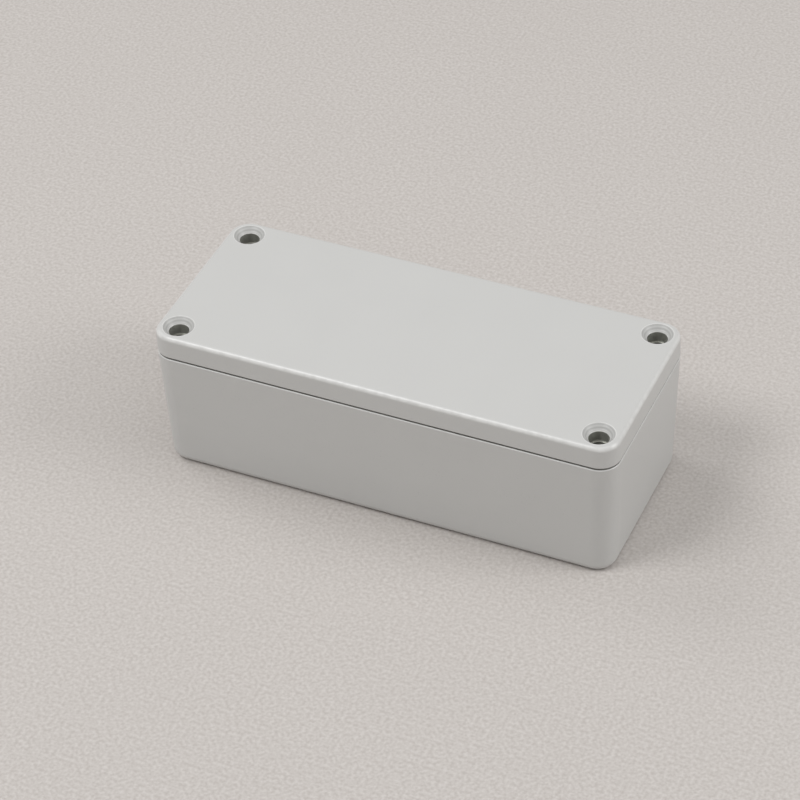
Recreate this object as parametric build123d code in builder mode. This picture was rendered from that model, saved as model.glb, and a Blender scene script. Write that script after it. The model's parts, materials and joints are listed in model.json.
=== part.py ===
from build123d import *
import os
from math import radians, tan

# A die cast aluminium box: a body with a screw boss in each corner, and a lid that laps over its rim.
# Millimetres, +Z up. The origin is the middle of the underside, and +X runs along the box.

# Outside, measured over the rim where body and lid meet
box_length = 92.6
box_width = 38.5
box_height = 31.0
corner_radius = 4.0  # upright corners, the same from top to base
wall_draft = 1.7  # degrees, so that the body comes out of its die
base_edge_radius = 1.8

# Walls of the body
wall = 2.2
floor_thickness = 2.2
floor_radius = 0.8  # where the cavity's walls meet its floor

# Lap joint: the lid's skirt reaches down round a tongue on the body's rim
rim_edge_chamfer = 0.15
tongue_height = 1.65
tongue_thickness = 1.0
tongue_lead = 0.3  # chamfer that lets the lid find its place
lap_clearance = 0.15
seam_gap = 0.5

# Lid
lid_thickness = 3.5  # from the land that rests on the bosses to the top
lid_draft = 0.8  # degrees
lid_edge_radius = 1.0
lid_recess_depth = 1.3  # hollow under the top plate

# Screws: No. 6-32 flat heads, one in each corner
screw_inset_x = 4.3  # from the box's end to the screw's axis
screw_inset_y = 4.15
screw_hole_diameter = 3.9
countersink_diameter = 5.9
countersink_angle = 82.0
mouth_diameter = 6.16  # where the countersink's edge is broken by a flatter cone
mouth_angle = 130.0
tap_diameter = 3.5  # across the roots of the thread
tap_depth = 14.0
boss_wall = 1.55  # metal round the tapped hole
boss_blend_radius = 0.9  # where a boss runs into the walls, at the floor

# Worked out from the sizes above
tongue_top = box_height - lid_thickness
rim_height = tongue_top - tongue_height
skirt_bottom = rim_height + seam_gap
screw_spacing_x = box_length - 2 * screw_inset_x
screw_spacing_y = box_width - 2 * screw_inset_y
cavity_length = box_length - 2 * wall
cavity_width = box_width - 2 * wall
cavity_depth = tongue_top - floor_thickness
cavity_lean = cavity_depth * tan(radians(wall_draft))  # how far a wall leans in over the depth
boss_radius = tap_diameter / 2 + boss_wall
boss_reach_x = screw_inset_x - wall + boss_radius
boss_reach_y = screw_inset_y - wall + boss_radius
tongue_step = wall - tongue_thickness  # ledge outside the tongue, under the lid's skirt


def inside_outline():
    """The cavity seen from above at the tongue: a rectangle less a rounded block in each corner."""
    blend = boss_blend_radius + cavity_lean
    rounding = min(boss_radius, boss_reach_x - blend, boss_reach_y - blend) * 0.99
    with BuildSketch() as outline:
        Rectangle(cavity_length, cavity_width)
        with GridLocations(cavity_length, cavity_width, 2, 2):
            Rectangle(2 * boss_reach_x, 2 * boss_reach_y, mode=Mode.SUBTRACT)
        boss_corners = outline.vertices().sort_by_distance((0, 0, 0))[:4]
        fillet(boss_corners, rounding)
        on_wall = [
            vertex
            for vertex in outline.vertices()
            if abs(abs(vertex.X) - cavity_length / 2) < 0.001 or abs(abs(vertex.Y) - cavity_width / 2) < 0.001
        ]
        fillet(on_wall, blend)
    return outline.sketch


# The core of the die, which leaves the cavity and the four bosses
with BuildPart() as core:
    with BuildSketch(Plane.XY.offset(floor_thickness)):
        add(inside_outline())
    extrude(amount=cavity_depth)
    draft(core.faces().filter_by(Axis.Z, reverse=True), Plane.XY.offset(tongue_top), -wall_draft)
    fillet(core.faces().sort_by(Axis.Z)[0].edges(), min(floor_radius, 0.95 * boss_blend_radius))

with BuildPart() as body:
    # Outside walls lean in towards the base, and their corners are rounded after that
    with BuildSketch():
        Rectangle(box_length, box_width)
    extrude(amount=rim_height)
    draft(body.faces().filter_by(Axis.Z, reverse=True), Plane.XY.offset(rim_height), -wall_draft)
    upright_edges = body.edges().filter_by(lambda edge: edge.bounding_box().size.Z > rim_height / 2)
    fillet(upright_edges, corner_radius)
    fillet(body.faces().sort_by(Axis.Z)[0].edges(), base_edge_radius)
    chamfer(body.faces().sort_by(Axis.Z)[-1].edges(), rim_edge_chamfer)

    # Tongue that the lid's skirt laps over
    with BuildSketch(Plane.XY.offset(rim_height)):
        RectangleRounded(box_length - 2 * tongue_step, box_width - 2 * tongue_step, corner_radius - tongue_step)
    extrude(amount=tongue_height)
    chamfer(body.faces().sort_by(Axis.Z)[-1].edges(), tongue_lead)

    # Cavity, then the tapped hole in each boss
    add(core.part, mode=Mode.SUBTRACT)
    with Locations(Plane.XY.offset(tongue_top)):
        with GridLocations(screw_spacing_x, screw_spacing_y, 2, 2):
            Hole(tap_diameter / 2, tap_depth)
body.part.label = "body"

with BuildPart() as lid:
    # Outside of the lid, with a skirt down to the seam
    with BuildSketch(Plane.XY.offset(skirt_bottom)):
        RectangleRounded(box_length, box_width, corner_radius)
    extrude(amount=box_height - skirt_bottom)
    draft(lid.faces().filter_by(Axis.Z, reverse=True), Plane.XY.offset(skirt_bottom), lid_draft)
    fillet(lid.faces().sort_by(Axis.Z)[-1].edges(), lid_edge_radius)

    # Room for the tongue inside the skirt: the land above it rests on the tongue and the bosses
    with BuildSketch(Plane.XY.offset(skirt_bottom)):
        RectangleRounded(
            box_length - 2 * (tongue_step - lap_clearance),
            box_width - 2 * (tongue_step - lap_clearance),
            corner_radius - tongue_step + lap_clearance,
        )
    extrude(amount=tongue_top - skirt_bottom, mode=Mode.SUBTRACT)

    # Recess under the top plate, clear of the four screw pads
    with BuildSketch(Plane.XY.offset(tongue_top)):
        add(inside_outline())
    extrude(amount=lid_recess_depth, mode=Mode.SUBTRACT)

    # Countersunk screw holes
    with Locations(Plane.XY.offset(box_height)):
        with GridLocations(screw_spacing_x, screw_spacing_y, 2, 2):
            CounterSinkHole(
                screw_hole_diameter / 2, countersink_diameter / 2, counter_sink_angle=countersink_angle
            )
            CounterSinkHole(screw_hole_diameter / 2, mouth_diameter / 2, counter_sink_angle=mouth_angle)
lid.part.label = "lid"

os.makedirs("parts", exist_ok=True)
export_step(body.part, "parts/body.step")
export_step(lid.part, "parts/lid.step")

for piece in (body, lid):
    size = piece.part.bounding_box().size
    print(f"{piece.part.label}: {size.X:.2f} x {size.Y:.2f} x {size.Z:.2f} mm, {piece.part.volume / 1000:.2f} cm3")
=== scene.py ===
# %% [markdown]
# # A die cast aluminium box in grey powder coat
#
# This file dresses a finished CAD model of a small die cast box: a deep body and a flat lid, which a
# screw in each corner would hold together. The four screws are missing, so the lid's empty holes look
# down into the tapped holes of the body. The CAD model has the whole shape. What is added here is the
# finish of every surface, and the fine thread in the four tapped holes.
#
# ## The fixed frame
#
# The CAD model comes in first, and nothing moves it afterwards. Its pieces are in metres, with Z up and
# the origin in the middle of the underside, so anything new is written at its real place.

# %% Load the frame
import json
import math

import bpy
import numpy as np
from mathutils import Matrix, Vector


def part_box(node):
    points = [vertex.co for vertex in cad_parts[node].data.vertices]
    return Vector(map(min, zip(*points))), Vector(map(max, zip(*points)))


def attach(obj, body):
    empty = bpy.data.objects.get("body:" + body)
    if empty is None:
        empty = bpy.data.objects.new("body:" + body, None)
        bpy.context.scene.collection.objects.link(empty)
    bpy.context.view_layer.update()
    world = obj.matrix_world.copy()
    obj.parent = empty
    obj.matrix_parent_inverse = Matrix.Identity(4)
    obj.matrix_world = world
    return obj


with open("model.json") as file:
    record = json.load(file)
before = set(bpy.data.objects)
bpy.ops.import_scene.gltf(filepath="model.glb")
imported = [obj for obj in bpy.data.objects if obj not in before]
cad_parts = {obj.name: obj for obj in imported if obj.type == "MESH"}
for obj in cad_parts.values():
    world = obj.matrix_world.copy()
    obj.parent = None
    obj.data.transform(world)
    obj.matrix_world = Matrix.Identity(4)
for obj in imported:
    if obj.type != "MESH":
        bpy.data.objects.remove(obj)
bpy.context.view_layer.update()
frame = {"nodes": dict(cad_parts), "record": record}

print("pieces of the frame:", sorted(frame["nodes"]))

# %% [markdown]
# ## Sizes
#
# A maker thinks in millimetres, and Blender's unit is the metre. One constant turns the first into the
# second. The levels and the places of the holes are read from the CAD pieces and their record, so that
# the thread and the finish follow them. Three small sizes of the lid are written here, because no piece's
# box shows them.

# %% Millimetres and the box's own levels
MM = 0.001
lid_low, lid_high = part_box("lid")
lid_top = lid_high.z
boss_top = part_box("body")[1].z
lid_holes = next(mount for mount in frame["record"]["mounts"] if mount["name"] == "lid_screw_holes")
hole_x = lid_holes["dims"]["spacing_x_mm"] / 2 * MM
hole_y = lid_holes["dims"]["spacing_y_mm"] / 2 * MM
bore_radius = lid_holes["dims"]["hole_r_mm"] * MM
hole_centres = [(sx * hole_x, sy * hole_y) for sx in (-1, 1) for sy in (-1, 1)]
cone_bottom = lid_top - 1.17 * MM  # where a hole's countersink ends
mouth_radius = 3.08 * MM  # of a countersink, at the lid's top
seam_gap = 0.5 * MM  # between the body's rim and the lid's skirt
print("lid top at", round(lid_top / MM, 2), "mm, boss tops at", round(boss_top / MM, 2), "mm")
print("screw holes at", [(round(x / MM, 2), round(y / MM, 2)) for x, y in hole_centres])

# %% [markdown]
# ## The camera
#
# The photograph was taken from the right of the box's long side and from well above it, with a long lens,
# so that the upright edges hardly run together. The camera is placed by four numbers that a photographer
# would use: how far round, how high, how far off, and how much the camera was tipped sideways. It looks
# at the middle of the box, a little to one side, as the photograph is framed.

# %% Camera
def direction(azimuth, elevation):
    """Unit vector from the box towards a place, given in degrees. Azimuth 0 is -Y, and 90 is +X."""
    a, e = math.radians(azimuth), math.radians(elevation)
    return Vector((math.sin(a) * math.cos(e), -math.cos(a) * math.cos(e), math.sin(e)))


def camera_axes(azimuth, elevation, roll):
    """Right, up and backward directions of a camera at that place, tipped sideways by roll degrees."""
    a, r = math.radians(azimuth), math.radians(roll)
    backward = direction(azimuth, elevation)
    level_right = Vector((math.cos(a), math.sin(a), 0))
    level_up = backward.cross(level_right)
    right = level_right * math.cos(r) + level_up * math.sin(r)
    up = level_up * math.cos(r) - level_right * math.sin(r)
    return right, up, backward


FRAME_PIXELS = 800  # the picture is square
LENS_PIXELS = 2999  # distance from lens to film, in pixels of the picture
CAMERA_DISTANCE = 567.4 * MM
AIM_LEFT = 3.64 * MM  # of the box's middle
AIM_BELOW = 1.23 * MM
camera_data = bpy.data.cameras.new("camera")
camera_data.sensor_width = 36  # mm of film
camera_data.lens = LENS_PIXELS / FRAME_PIXELS * camera_data.sensor_width
camera_data.clip_start = 0.01
camera = bpy.data.objects.new("camera", camera_data)
bpy.context.scene.collection.objects.link(camera)
right, up, backward = camera_axes(azimuth=25.59, elevation=40.23, roll=-2.72)
aim = Vector((0, 0, lid_top / 2)) - right * AIM_LEFT - up * AIM_BELOW
eye = aim + backward * CAMERA_DISTANCE
turned = Matrix((right, up, backward)).transposed().to_4x4()
camera.matrix_world = Matrix.Translation(eye) @ turned
bpy.context.scene.camera = camera
print("camera at", [round(value, 4) for value in eye], "with a", round(camera_data.lens, 1), "mm lens")

# %% [markdown]
# ## Colours and nodes
#
# Colours are written as the eye sees them, in hex as on a paint card, and one function turns them into
# the linear light that Blender works in. A second small function adds a node to a material, sets it up
# and joins its inputs, so that each material below reads as a short list.

# %% Helpers for materials
def linear(hex_colour):
    """sRGB hex to linear RGBA.

    Each channel below 0.04045 is divided by 12.92, and the rest follow the curve with the power 2.4.
    """
    channels = np.array([int(hex_colour[i:i + 2], 16) for i in (1, 3, 5)]) / 255
    curved = np.where(channels <= 0.04045, channels / 12.92, ((channels + 0.055) / 1.055) ** 2.4)
    return (*map(float, curved), 1.0)


def add(tree, kind, inputs=None, **settings):
    """Adds one node. Settings are its own properties, and inputs give sockets their values or links."""
    node = tree.nodes.new(kind)
    for name, value in settings.items():
        setattr(node, name, value)
    for name, value in (inputs or {}).items():
        socket = node.inputs[name]
        if isinstance(value, bpy.types.NodeSocket):
            tree.links.new(value, socket)
        else:
            socket.default_value = value
    return node


def new_material(name):
    """An empty material with its output, and the Principled shader that goes into it."""
    material = bpy.data.materials.new(name)
    material.use_nodes = True
    tree = material.node_tree
    tree.nodes.clear()
    shader = add(tree, "ShaderNodeBsdfPrincipled")
    add(tree, "ShaderNodeOutputMaterial", {"Surface": shader.outputs["BSDF"]})
    return material, tree, shader


def dress(piece, material):
    """Gives a piece this one material."""
    piece.data.materials.clear()
    piece.data.materials.append(material)


print("mid grey #808080 is", [round(value, 4) for value in linear("#808080")[:3]], "in linear light")

# %% [markdown]
# ## Where a point is on the box
#
# The finish isn't the same all over. Paint reaches the outside, the metal inside is bare, and the drill
# leaves rings round each screw hole. So the material needs to know where each point is. Object
# coordinates tell it, and they stay with the piece when it moves. Scaled to millimetres, they also let
# every pattern below be given its real size. The box is the same on all four quarters, so taking away the
# signs of x and y folds it onto one quarter, and one hole's axis then stands for all four.

# %% Coordinates for the finish
def place_on_box(tree):
    """The point in mm, the same folded onto one quarter, and its distance from a screw hole's axis."""
    coordinates = add(tree, "ShaderNodeTexCoord")
    in_mm = {0: coordinates.outputs["Object"], "Scale": 1 / MM}
    point = add(tree, "ShaderNodeVectorMath", in_mm, operation="SCALE").outputs[0]
    folded = add(tree, "ShaderNodeVectorMath", {0: point}, operation="ABSOLUTE").outputs[0]
    hole = (hole_x / MM, hole_y / MM, 0)
    from_hole = add(tree, "ShaderNodeVectorMath", {0: folded, 1: hole}, operation="SUBTRACT")
    level_part = {0: from_hole.outputs[0], 1: (1, 1, 0)}
    level = add(tree, "ShaderNodeVectorMath", level_part, operation="MULTIPLY")
    radius = add(tree, "ShaderNodeVectorMath", {0: level.outputs[0]}, operation="LENGTH")
    return point, folded, radius.outputs["Value"]


COAT_DEPTH = 1.7  # mm from the box's outside, which is less than a wall
UNDERSIDE_DEPTH = 1  # mm from the underside, which is less than the floor
CORNER_MARGIN = 0.5  # mm of bare metal beyond a screw hole, towards the box's corner
RAGGED = 0.3  # mm by which the limit of the paint wanders


def inside_mask(tree, folded, noise):
    """1 on the bare metal inside the box, 0 on the coated outside.

    The inside is a block that ends within the walls, so each surface lies clearly on one side of its
    limit. Its upright corners are cut off just beyond the screw holes, because the box's own corners are
    round. The depth of a point in the block is the least of its distances from the block's faces, and the
    noise makes the limit ragged.
    """
    past_fold = -1  # the block runs on past the folds, which are no limits
    low = (past_fold, past_fold, UNDERSIDE_DEPTH)
    high = (lid_high.x / MM - COAT_DEPTH, lid_high.y / MM - COAT_DEPTH, cone_bottom / MM)
    from_low = add(tree, "ShaderNodeVectorMath", {0: folded, 1: low}, operation="SUBTRACT").outputs[0]
    from_high = add(tree, "ShaderNodeVectorMath", {0: high, 1: folded}, operation="SUBTRACT").outputs[0]
    nearer = add(tree, "ShaderNodeVectorMath", {0: from_low, 1: from_high}, operation="MINIMUM")
    parts = add(tree, "ShaderNodeSeparateXYZ", {0: nearer.outputs[0]}).outputs
    sides = add(tree, "ShaderNodeMath", {0: parts["X"], 1: parts["Y"]}, operation="MINIMUM").outputs[0]
    diagonal = (-math.sqrt(0.5), -math.sqrt(0.5), 0)
    corner_cut = ((hole_x + hole_y) * math.sqrt(0.5) + bore_radius) / MM + CORNER_MARGIN
    outwards = add(tree, "ShaderNodeVectorMath", {0: folded, 1: diagonal}, operation="DOT_PRODUCT")
    to_cut = {0: outwards.outputs["Value"], 1: corner_cut}
    from_cut = add(tree, "ShaderNodeMath", to_cut, operation="ADD").outputs[0]
    sides = add(tree, "ShaderNodeMath", {0: sides, 1: from_cut}, operation="MINIMUM").outputs[0]
    depth = add(tree, "ShaderNodeMath", {0: sides, 1: parts["Z"]}, operation="MINIMUM").outputs[0]
    wandering = {0: noise, 1: RAGGED, 2: depth}
    ragged = add(tree, "ShaderNodeMath", wandering, operation="MULTIPLY_ADD").outputs[0]
    limits = {"Value": ragged, "From Min": 0.1, "From Max": 0.3}
    return add(tree, "ShaderNodeMapRange", limits, interpolation_type="SMOOTHSTEP").outputs[0]


print("bare metal starts below", round(cone_bottom / MM, 2), "mm inside the lid's holes")

# %% [markdown]
# ## The marks of the drill and of hands, with painted shade and a painted highlight
#
# The countersinks are cut after casting, and the drill leaves a fine spiral groove that reads as
# rings. The rings are a sine wave of the distance from the hole's axis. A real drill's are often finer,
# and these are drawn as coarse as they need to be to show. Each countersink's colour is darkened as
# painted shade, most in the hollows between the rings, and the gap under the lid is greyed as painted
# shade. Hands and benches polish the paint where it stands out: on the fillets, the edges and the lips
# of the holes, which are also painted lighter there as a painted highlight. A surface there faces
# neither up nor sideways, and its direction tells the material so without any image map.

# %% Masks for the marks
RING_PITCH = 0.45  # mm from one of the drill's rings to the next
MOUTH_LIP = 0.06  # mm to either side of the mouth's edge
THROAT_LIP = 0.1  # mm to either side of the bore's edge
STEEPEST = 0.385  # the most that z (1 - z^2) can be


def drill_marks(tree, height, radius):
    """The countersink's mask, the drill's rings in it, and the painted shade that darkens the countersink,
    most in the hollows between the rings.

    The rings are the wave sin(-2 pi radius / pitch). The mask is 1 within the mouth's radius and above the
    tops of the bosses.
    """
    in_lid = add(tree, "ShaderNodeMath", {0: height, 1: boss_top / MM}, operation="GREATER_THAN").outputs[0]
    near = add(tree, "ShaderNodeMath", {0: radius, 1: mouth_radius / MM}, operation="LESS_THAN").outputs[0]
    drilled = add(tree, "ShaderNodeMath", {0: near, 1: in_lid}, operation="MULTIPLY").outputs[0]
    turn = add(tree, "ShaderNodeMath", {0: radius, 1: -math.tau / RING_PITCH}, operation="MULTIPLY")
    wave = add(tree, "ShaderNodeMath", {0: turn.outputs[0]}, operation="SINE").outputs[0]
    rings = add(tree, "ShaderNodeMath", {0: wave, 1: drilled}, operation="MULTIPLY").outputs[0]
    # painted shade: the countersink's colour darkens, most in the hollows between the rings
    low_places = {"Value": wave, "From Min": -1, "From Max": 1, "To Min": 0.45, "To Max": 0.08}
    shade = add(tree, "ShaderNodeMapRange", low_places).outputs[0]
    groove_shade = add(tree, "ShaderNodeMath", {0: shade, 1: drilled}, operation="MULTIPLY").outputs[0]
    return drilled, rings, groove_shade


def seam_shade(tree, height):
    """1 in the gap under the lid's skirt, which is coloured darker there as painted shade."""
    middle = (lid_low.z - seam_gap / 2) / MM
    reach = seam_gap / MM / 2 + 0.01  # a hair more, so that both edges count
    return add(tree, "ShaderNodeMath", {0: height, 1: middle, 2: reach}, operation="COMPARE").outputs[0]


def edge_wear_and_highlight(tree, radius, drilled, waves):
    """How far the paint is polished and painted lighter: on upper edges and fillets, and on the lips of the
    holes. The smoother finish is polish, and the lighter colour is a painted highlight.

    With z the upward part of the surface's direction, z (1 - z^2) is 0 on level and upright faces and
    greatest between them. The waves of the paint decide how much of each edge gets both.
    """
    facing = add(tree, "ShaderNodeNewGeometry").outputs["Normal"]
    upward = add(tree, "ShaderNodeSeparateXYZ", {0: facing}).outputs["Z"]
    squared = add(tree, "ShaderNodeMath", {0: upward, 1: upward}, operation="MULTIPLY").outputs[0]
    level_part = add(tree, "ShaderNodeMath", {0: 1.0, 1: squared}, operation="SUBTRACT").outputs[0]
    slanting = add(tree, "ShaderNodeMath", {0: upward, 1: level_part}, operation="MULTIPLY").outputs[0]
    slant_limits = {"Value": slanting, "From Min": 0.1, "From Max": STEEPEST}
    edge = add(tree, "ShaderNodeMapRange", slant_limits).outputs[0]
    edge = add(tree, "ShaderNodeMath", {0: edge, 1: drilled}, operation="SUBTRACT").outputs[0]
    # painted highlight: the lips of the holes are coloured lighter
    mouth_lip = {0: radius, 1: mouth_radius / MM, 2: MOUTH_LIP}
    mouth = add(tree, "ShaderNodeMath", mouth_lip, operation="COMPARE").outputs[0]
    throat_lip = {0: radius, 1: bore_radius / MM, 2: THROAT_LIP}
    throat = add(tree, "ShaderNodeMath", throat_lip, operation="COMPARE").outputs[0]
    lips = add(tree, "ShaderNodeMath", {0: mouth, 1: throat}, operation="ADD").outputs[0]
    edge = add(tree, "ShaderNodeMath", {0: edge, 1: lips}, operation="MAXIMUM").outputs[0]
    patch_limits = {"Value": waves, "From Min": 0.3, "From Max": 0.6, "To Min": 0.5, "To Max": 1.0}
    edge_patches = add(tree, "ShaderNodeMapRange", patch_limits).outputs[0]
    edge_and_patches = {0: edge, 1: edge_patches}
    return add(tree, "ShaderNodeMath", edge_and_patches, operation="MULTIPLY", use_clamp=True).outputs[0]


print("drill rings every", RING_PITCH, "mm, dust in a gap of", round(seam_gap / MM, 2), "mm")

# %% [markdown]
# ## Grey powder coat
#
# A die casting comes out of its tool with a dull skin and is coated with dry powder, which is charged,
# clings to the metal and melts in an oven to a tough satin film about a tenth of a millimetre thick. As
# it melts it doesn't quite level, and that leaves the faint waves called orange peel, a millimetre or two
# apart. The powder also keeps out of narrow places, so the small bores stay nearly bare and look dark.
#
# The paint is a dielectric. Its index of refraction starts from that of a hard polyester film, about 1.5,
# and was raised to 1.6 to match the highlight. A middling roughness makes that highlight wide and soft,
# and the edges, a little smoother for polish and painted lighter as a painted highlight, let it run along
# the lid as one bright line. The bare alloy inside is a metal, rougher than polished aluminium and
# greyer, because die cast alloys hold silicon. Paint and metal are the two ends of a mix, and the masks
# above choose between them.
#
# The waves are a bump of 0.015 mm. That is far too little to see as a shape, and the eye reads it only
# where a highlight runs across it.

# %% Powder coat
PEEL_SCALE = 0.75  # waves of orange peel to a mm, so about 1.3 mm apart
CLOUD_SCALE = 0.07  # thicker and thinner powder, about 14 mm apart
GRAIN_SCALE = 5.0  # casting skin and specks, 0.2 mm apart
PEEL_HEIGHT = 0.015 * MM


def powder_coat(name):
    """Satin powder coat outside, bare die cast alloy inside, and drill rings in each countersink."""
    material, tree, shader = new_material(name)
    point, folded, radius = place_on_box(tree)
    peel = {"Vector": point, "Scale": PEEL_SCALE, "Detail": 1.5}
    waves = add(tree, "ShaderNodeTexNoise", peel).outputs["Fac"]
    thickness = {"Vector": point, "Scale": CLOUD_SCALE, "Detail": 2.0}
    clouds = add(tree, "ShaderNodeTexNoise", thickness).outputs["Fac"]
    skin = {"Vector": point, "Scale": GRAIN_SCALE, "Detail": 2.0}
    grain = add(tree, "ShaderNodeTexNoise", skin).outputs["Fac"]
    height = add(tree, "ShaderNodeSeparateXYZ", {0: point}).outputs["Z"]
    bare = inside_mask(tree, folded, grain)
    drilled, rings, groove_shade = drill_marks(tree, height, radius)
    wear_and_highlight = edge_wear_and_highlight(tree, radius, drilled, waves)
    few = {"Value": grain, "From Min": 0.66, "From Max": 0.76, "To Max": 0.5}
    specks = add(tree, "ShaderNodeMapRange", few).outputs[0]

    # Colour: the paint, then in turn painted shade in the countersinks and in the gap under the lid,
    # specks, and a painted highlight on edges and lips; and the bare metal where the mask is 1
    tones = {"Factor": clouds, 6: linear("#C6C6C4"), 7: linear("#CACAC8")}
    paint = add(tree, "ShaderNodeMix", tones, data_type="RGBA").outputs[2]
    # painted shade: the gap under the lid is coloured darker
    gap_shade = seam_shade(tree, height)
    layers = [(groove_shade, "#8E8E8B"), (gap_shade, "#A09F9B"), (specks, "#A9A8A5"), (wear_and_highlight, "#DFDFDD")]
    for amount, tone in layers:
        layer = {"Factor": amount, 6: paint, 7: linear(tone)}
        paint = add(tree, "ShaderNodeMix", layer, data_type="RGBA").outputs[2]
    alloy = {"Factor": grain, 6: linear("#BDBEB9"), 7: linear("#D6D7D2")}
    metal = add(tree, "ShaderNodeMix", alloy, data_type="RGBA").outputs[2]
    either = {"Factor": bare, 6: paint, 7: metal}
    colour = add(tree, "ShaderNodeMix", either, data_type="RGBA")
    tree.links.new(colour.outputs[2], shader.inputs["Base Color"])
    tree.links.new(bare, shader.inputs["Metallic"])

    # Roughness: satin, smoother where the edges are polished, a little uneven, and duller on the metal
    gloss = {"Value": wear_and_highlight, "To Min": 0.37, "To Max": 0.25}
    satin = add(tree, "ShaderNodeMapRange", gloss).outputs[0]
    uneven = add(tree, "ShaderNodeMath", {0: grain, 1: 0.06, 2: satin}, operation="MULTIPLY_ADD").outputs[0]
    roughness = add(tree, "ShaderNodeMix", {"Factor": bare, 2: uneven, 3: 0.5})
    tree.links.new(roughness.outputs[0], shader.inputs["Roughness"])

    # Bump: orange peel on the paint, casting skin on the metal, and the drill's rings on top
    relief = add(tree, "ShaderNodeMix", {"Factor": bare, 2: waves, 3: grain}).outputs[0]
    relief = add(tree, "ShaderNodeMath", {0: rings, 1: 0.7, 2: relief}, operation="MULTIPLY_ADD").outputs[0]
    bump = add(tree, "ShaderNodeBump", {"Height": relief, "Distance": PEEL_HEIGHT})
    tree.links.new(bump.outputs["Normal"], shader.inputs["Normal"])
    shader.inputs["IOR"].default_value = 1.6
    return material


coat = powder_coat("grey_powder_coat")
dress(frame["nodes"]["lid"], coat)
dress(frame["nodes"]["body"], coat)
print("grey_powder_coat has", len(coat.node_tree.nodes), "nodes")

# %% [markdown]
# ## The threads
#
# Each boss is tapped for a No. 6-32 screw: 32 turns to the inch, flanks at 60 degrees, and a ridge cut
# flat at its crest. The CAD model has the bore at the thread's outer diameter, so what is missing is the
# ridge that stands in from it. A ridge is one section carried round a helix, so it is a surface of two
# numbers: the angle round the hole, and the place along the section's outline. The section's back lies in
# the metal, so that no gap shows, and at both ends the crest sinks back into the wall over half a turn,
# as it does where a tap starts and stops.

# %% Thread surface
INCH = 25.4 * MM
PITCH = INCH / 32
ROOT_RADIUS = 1.75 * MM
CREST_RADIUS = 1.4 * MM
FLANK_ANGLE = math.radians(30)  # from the level, so that the two flanks make 60 degrees
BACK_DEPTH = 0.05 * MM  # of the section's back in the metal
STEPS_PER_TURN = 48


def thread_ridge(name, centre, low, high):
    """The ridge of a right-hand internal thread from height low to height high.

    With t the angle and (r, h) a corner of the section: x = cx + r cos t, y = cy + r sin t, and
    z = low + pitch t / 2 pi + h. A corner that stands in from the root by d is at r = root - d run(t).
    Over the half turn at either end run(t) = sin^2(u / 2), with u the angle from that end. Elsewhere it
    is 1.
    """
    turns = (high - low) / PITCH
    t = np.linspace(0, math.tau * turns, round(turns * STEPS_PER_TURN) + 1)[:, None]
    depth = ROOT_RADIUS - CREST_RADIUS
    root_half = (PITCH - PITCH / 8) / 2
    crest_half = root_half - depth * math.tan(FLANK_ANGLE)
    stand = np.array([-BACK_DEPTH, 0, depth, depth, 0, -BACK_DEPTH])
    h = np.array([root_half, root_half, crest_half, -crest_half, -root_half, -root_half])
    run = np.sin(np.clip(np.minimum(t, t[-1] - t) / math.pi, 0, 1) * math.pi / 2) ** 2
    r = ROOT_RADIUS - np.where(stand > 0, stand * run, stand)
    x = centre[0] + r * np.cos(t)
    y = centre[1] + r * np.sin(t)
    z = low + PITCH * t / math.tau + h
    points = np.stack([x, y, z], axis=-1).reshape(-1, 3)

    steps, corners = r.shape
    step, corner = np.meshgrid(np.arange(steps - 1), np.arange(corners), indexing="ij")
    here = step * corners
    ahead = here + corners
    after = (corner + 1) % corners
    quads = np.stack([here + corner, ahead + corner, ahead + after, here + after], axis=-1).reshape(-1, 4)
    caps = [list(range(corners)), [len(points) - 1 - i for i in range(corners)]]
    mesh = bpy.data.meshes.new(name)
    mesh.from_pydata(points.tolist(), [], quads.tolist() + caps)
    mesh.shade_smooth()
    mesh.set_sharp_from_angle(angle=math.radians(20))
    piece = bpy.data.objects.new(name, mesh)
    bpy.context.scene.collection.objects.link(piece)
    return piece


ridge_height = ROOT_RADIUS - CREST_RADIUS
print("thread pitch", round(PITCH / MM, 3), "mm, ridge", round(ridge_height / MM, 2), "mm high")

# %% [markdown]
# The metal of a tapped hole is freshly cut, and nothing coats it. The tap's edge leaves fine lines that
# follow the helix, and the colour runs darker towards the roots. Cut aluminium is bright, but at the
# bottom of a narrow hole it gets little light, so its tones are painted shade, darker than the metal,
# matched to what shows there. The ridge starts a little under the boss's top and stops short of the
# bottom, because a tap's leading teeth only cut part of the thread.

# %% Tapped holes
LINE_SCALE = 2.0  # the tap's lines to a mm round the hole, and 9 times as many up it
LINE_HEIGHT = 0.01 * MM


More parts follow.
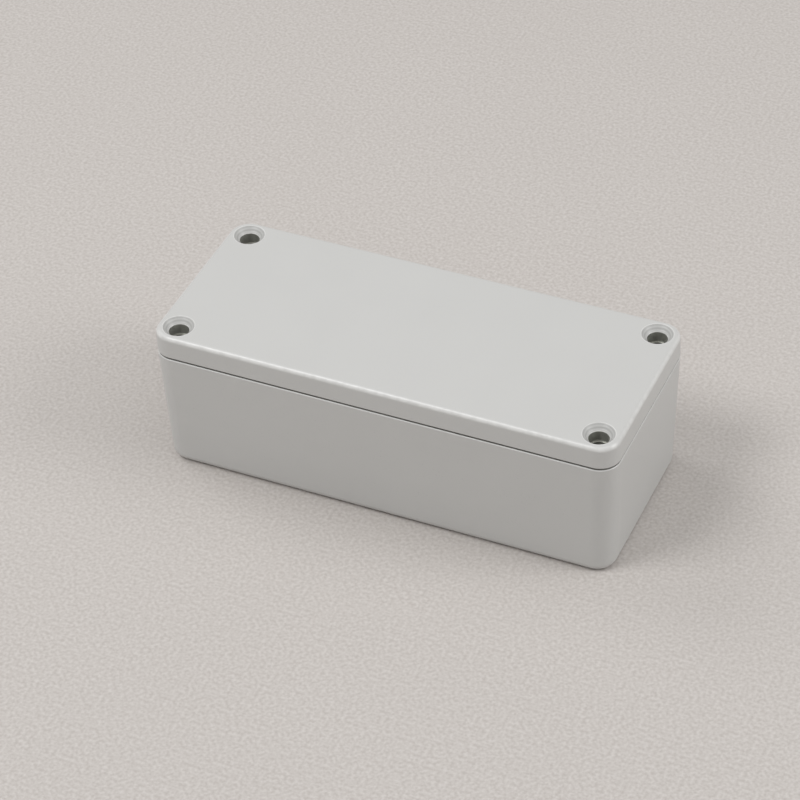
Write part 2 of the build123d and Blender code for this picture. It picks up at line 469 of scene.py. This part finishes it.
def tapped_metal(name):
    """Cut aluminium, darkened as painted shade of the deep hole, with lines along the thread and darker
    roots.
    """
    material, tree, shader = new_material(name)
    point, _, radius = place_on_box(tree)
    stretch = add(tree, "ShaderNodeVectorMath", {0: point, 1: (1, 1, 9)}, operation="MULTIPLY")
    drawn = {"Vector": stretch.outputs[0], "Scale": LINE_SCALE, "Detail": 3.0}
    lines = add(tree, "ShaderNodeTexNoise", drawn).outputs["Fac"]
    crest_to_root = {"Value": radius, "From Min": CREST_RADIUS / MM, "From Max": ROOT_RADIUS / MM}
    towards_root = add(tree, "ShaderNodeMapRange", crest_to_root).outputs[0]
    # painted shade: both tones are darker than cut aluminium, the darker one at the roots
    tones = {"Factor": towards_root, 6: linear("#9C9D99"), 7: linear("#5F605C")}
    colour = add(tree, "ShaderNodeMix", tones, data_type="RGBA")
    tree.links.new(colour.outputs[2], shader.inputs["Base Color"])
    gloss = add(tree, "ShaderNodeMapRange", {"Value": lines, "To Min": 0.2, "To Max": 0.45})
    tree.links.new(gloss.outputs[0], shader.inputs["Roughness"])
    bump = add(tree, "ShaderNodeBump", {"Height": lines, "Distance": LINE_HEIGHT})
    tree.links.new(bump.outputs["Normal"], shader.inputs["Normal"])
    shader.inputs["Metallic"].default_value = 1.0
    return material


cut_metal = tapped_metal("cut_aluminium")
thread_top = boss_top - PITCH * 0.6  # so that half a pitch of ridge stays under the boss's top
thread_bottom = boss_top - 12 * MM
for number, hole_centre in enumerate(hole_centres, start=1):
    ridge = thread_ridge(f"thread_{number}", hole_centre, thread_bottom, thread_top)
    dress(ridge, cut_metal)
    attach(ridge, "root")
    turns = round((thread_top - thread_bottom) / PITCH, 1)
    print(ridge.name, "has", turns, "turns and", len(ridge.data.polygons), "faces")

# %% [markdown]
# ## The floor
#
# The box stands on a sheet of warm grey paper, wide enough that no view from above finds its end. Paper
# is all scatter and no shine, so it is nearly as rough as a surface gets. Soft clouds and a mottle of
# fibres, each only a few percent lighter and darker, keep it from looking like a void and still let the
# box's shadow read clearly. Single fibres are too fine to show, so the mottle is drawn about 0.7 mm wide,
# as clumps of them.

# %% Floor
PAPER_CLOUDS = 30.0  # to a metre, so about 33 mm apart
PAPER_CLUMPS = 1500.0  # to a metre
CLUMP_HEIGHT = 0.01 * MM
FLOOR_HALF = 6  # metres


def paper(name):
    """Uncoated paper: clouds a few centimetres wide, and clumps of fibres under a millimetre."""
    material, tree, shader = new_material(name)
    point = add(tree, "ShaderNodeTexCoord").outputs["Object"]
    soft = {"Vector": point, "Scale": PAPER_CLOUDS, "Detail": 2.0}
    clouds = add(tree, "ShaderNodeTexNoise", soft).outputs["Fac"]
    fine = {"Vector": point, "Scale": PAPER_CLUMPS, "Detail": 2.0}
    fibres = add(tree, "ShaderNodeTexNoise", fine).outputs["Fac"]
    tones = {"Factor": clouds, 6: linear("#CCC7C3"), 7: linear("#D0CBC7")}
    sheet = add(tree, "ShaderNodeMix", tones, data_type="RGBA").outputs[2]
    clumps = {"Value": fibres, "From Min": 0.3, "From Max": 0.7}
    thick = add(tree, "ShaderNodeMapRange", clumps).outputs[0]
    fibrous = {"Factor": thick, 6: sheet, 7: linear("#BBB5B0")}
    colour = add(tree, "ShaderNodeMix", fibrous, data_type="RGBA")
    tree.links.new(colour.outputs[2], shader.inputs["Base Color"])
    bump = add(tree, "ShaderNodeBump", {"Height": fibres, "Distance": CLUMP_HEIGHT})
    tree.links.new(bump.outputs["Normal"], shader.inputs["Normal"])
    shader.inputs["Roughness"].default_value = 0.9
    return material


round_the_edge = ((-1, -1), (1, -1), (1, 1), (-1, 1))
floor_corners = [(sx * FLOOR_HALF, sy * FLOOR_HALF, 0) for sx, sy in round_the_edge]
floor_mesh = bpy.data.meshes.new("floor")
floor_mesh.from_pydata(floor_corners, [], [(0, 1, 2, 3)])
floor = bpy.data.objects.new("floor", floor_mesh)
bpy.context.scene.collection.objects.link(floor)
dress(floor, paper("warm_grey_paper"))
print("floor is", 2 * FLOOR_HALF, "m wide")

# %% [markdown]
# ## The light
#
# A product photographer would light this box with large soft panels all round, so that no face goes dark,
# and make one of them stronger. Here that is the front panel, to the left: it shapes the long side, and
# its reflection draws the bright line along the lid's front edge. A panel on the left throws the shadow
# to the right. One high on the right evens out the lid, and a lower one on the right, a little behind,
# keeps the end face lighter than the long side. White light from everywhere else fills what is left. The
# camera, and anything that mirrors the surroundings, sees a pale backdrop instead, which lights nothing
# else.

# %% World light and backdrop
FILL_STRENGTH = 0.41
world = bpy.data.worlds.new("studio")
bpy.context.scene.world = world
world.use_nodes = True
sky = world.node_tree
sky.nodes.clear()
fill = add(sky, "ShaderNodeBackground", {"Color": (1, 1, 1, 1), "Strength": FILL_STRENGTH})
backdrop = add(sky, "ShaderNodeBackground", {"Color": linear("#CDC8C4"), "Strength": 1.0})
rays = add(sky, "ShaderNodeLightPath").outputs
looking = {0: rays["Is Camera Ray"], 1: rays["Is Glossy Ray"]}
direct = add(sky, "ShaderNodeMath", looking, operation="MAXIMUM")
seen = {0: direct.outputs[0], 1: fill.outputs[0], 2: backdrop.outputs[0]}
either = add(sky, "ShaderNodeMixShader", seen)
add(sky, "ShaderNodeOutputWorld", {"Surface": either.outputs[0]})
print("fill light", FILL_STRENGTH, "of white")

# %% Panels
PANEL_DISTANCE = 1.2  # metres from the box


def panel(name, azimuth, elevation, size, strength):
    """A round soft panel that faces the box, size metres wide and with strength in watts."""
    data = bpy.data.lights.new(name, "AREA")
    data.shape = "DISK"
    data.size = size
    data.energy = strength
    place = direction(azimuth, elevation) * PANEL_DISTANCE
    piece = bpy.data.objects.new(name, data)
    piece.location = place
    piece.rotation_euler = place.to_track_quat("Z", "Y").to_euler()
    bpy.context.scene.collection.objects.link(piece)
    return piece


panel("key", azimuth=-44, elevation=56, size=0.5, strength=5.0)
panel("left", azimuth=-105, elevation=45, size=0.6, strength=2.1)
panel("right", azimuth=90, elevation=70, size=0.8, strength=1.8)
panel("back_right", azimuth=101, elevation=36, size=0.6, strength=3.7)
print("panels:", [light.name for light in bpy.data.lights])

# %% [markdown]
# ## Finish
#
# The Standard view shows colours as they were written.

# %% Finish
view = bpy.context.scene.view_settings
view.view_transform = "Standard"
